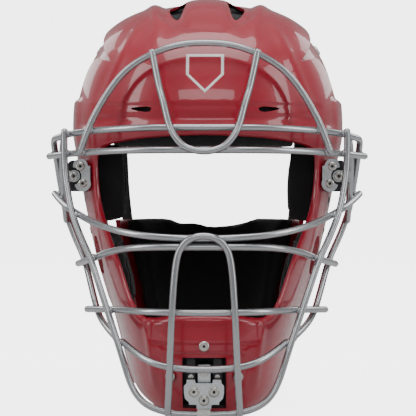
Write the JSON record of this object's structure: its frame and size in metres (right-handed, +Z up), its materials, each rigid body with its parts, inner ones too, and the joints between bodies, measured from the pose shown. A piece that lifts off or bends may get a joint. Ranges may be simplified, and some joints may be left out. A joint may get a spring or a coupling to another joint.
{
  "type": "catcher's helmet with sprung wire face cage",
  "caption": "Hockey-style catcher's helmet: glossy shell with padded lining, wire face cage on spring mounts at the temples and chin, and an elastic nape plate.",
  "frame": {"origin": "middle of the bounding box's foot, under the ear line", "axes": "the face looks along -Y, +X is to the right of someone facing the helmet, +Z is up"},
  "size_m": [0.272, 0.302, 0.351],
  "materials": {
    "shell_red": "high gloss",
    "pad_foam": "matt",
    "elastic_strap": "woven",
    "wire_silver": "satin",
    "clamp_white": "satin",
    "plastic_dark": "satin",
    "bracket_steel": "satin",
    "spring_steel": "satin",
    "screw_nickel": "polished",
    "snap_nickel": "polished",
    "screw_black": "satin"
  },
  "bodies": {
    "helmet": {"chin_guide_rails": "plastic_dark", "chin_housing": "plastic_dark", "chin_housing_screws": "screw_nickel", "chin_pad": "pad_foam", "chin_rail_screws": "screw_nickel", "chin_spring": "spring_steel", "cover_screws_left": "screw_nickel", "cover_screws_right": "screw_nickel", "crown_liner": "pad_foam", "crown_pad": "pad_foam", "crown_screws": "screw_black", "forehead_pad": "pad_foam", "front_shell": "shell_red", "jaw_pad_left": "pad_foam", "jaw_pad_right": "pad_foam", "rear_shell": "shell_red", "side_cover_left": "bracket_steel", "side_cover_right": "bracket_steel", "side_housing_left": "plastic_dark", "side_housing_right": "plastic_dark", "side_pad_left": "pad_foam", "side_pad_right": "pad_foam", "side_pad_screws": "screw_black", "side_spring_left": "spring_steel", "side_spring_right": "spring_steel", "side_strap_left": "elastic_strap", "side_strap_right": "elastic_strap", "side_strap_rivets": "snap_nickel", "strap_snaps": "snap_nickel", "upright_strap_left": "elastic_strap", "upright_strap_right": "elastic_strap"},
    "cage": {"perimeter_wire": "wire_silver", "upper_brow_wire": "wire_silver", "lower_brow_wire": "wire_silver", "brow_arch_wire": "wire_silver", "brow_loop_wire": "wire_silver", "upper_cheek_wire": "wire_silver", "lower_cheek_wire": "wire_silver", "mouth_wire": "wire_silver", "chin_wire": "wire_silver", "mouth_loop_wire": "wire_silver", "side_brace_wires": "wire_silver", "chin_plate": "bracket_steel", "chin_slider": "bracket_steel", "chin_plunger": "screw_nickel", "chin_clamp": "clamp_white", "chin_plate_screws": "screw_nickel", "side_carrier_left": "bracket_steel", "side_carrier_right": "bracket_steel", "side_plunger_left": "screw_nickel", "side_plunger_right": "screw_nickel", "carrier_screw_left": "screw_nickel", "carrier_screw_right": "screw_nickel"},
    "nape": {"nape_plate": "shell_red", "nape_pad": "pad_foam", "strap_rivets": "snap_nickel", "nape_strap_rivets": "snap_nickel"}
  },
  "joints": [
    {"name": "cage_slide", "type": "slide", "parent": "helmet", "child": "cage", "axis": [0, 1, 0], "range_m": [0, 0.006], "stiffness_N_per_m": 4000, "springref_m": -0.002, "deforming": ["side_spring_left", "side_spring_right", "chin_spring"]},
    {"name": "nape_slide", "type": "slide", "parent": "helmet", "child": "nape", "axis": [0, 1, 0], "range_m": [0, 0.02], "stiffness_N_per_m": 400, "springref_m": -0.01, "deforming": ["upright_strap_left", "upright_strap_right", "side_strap_left", "side_strap_right"]}
  ]
}
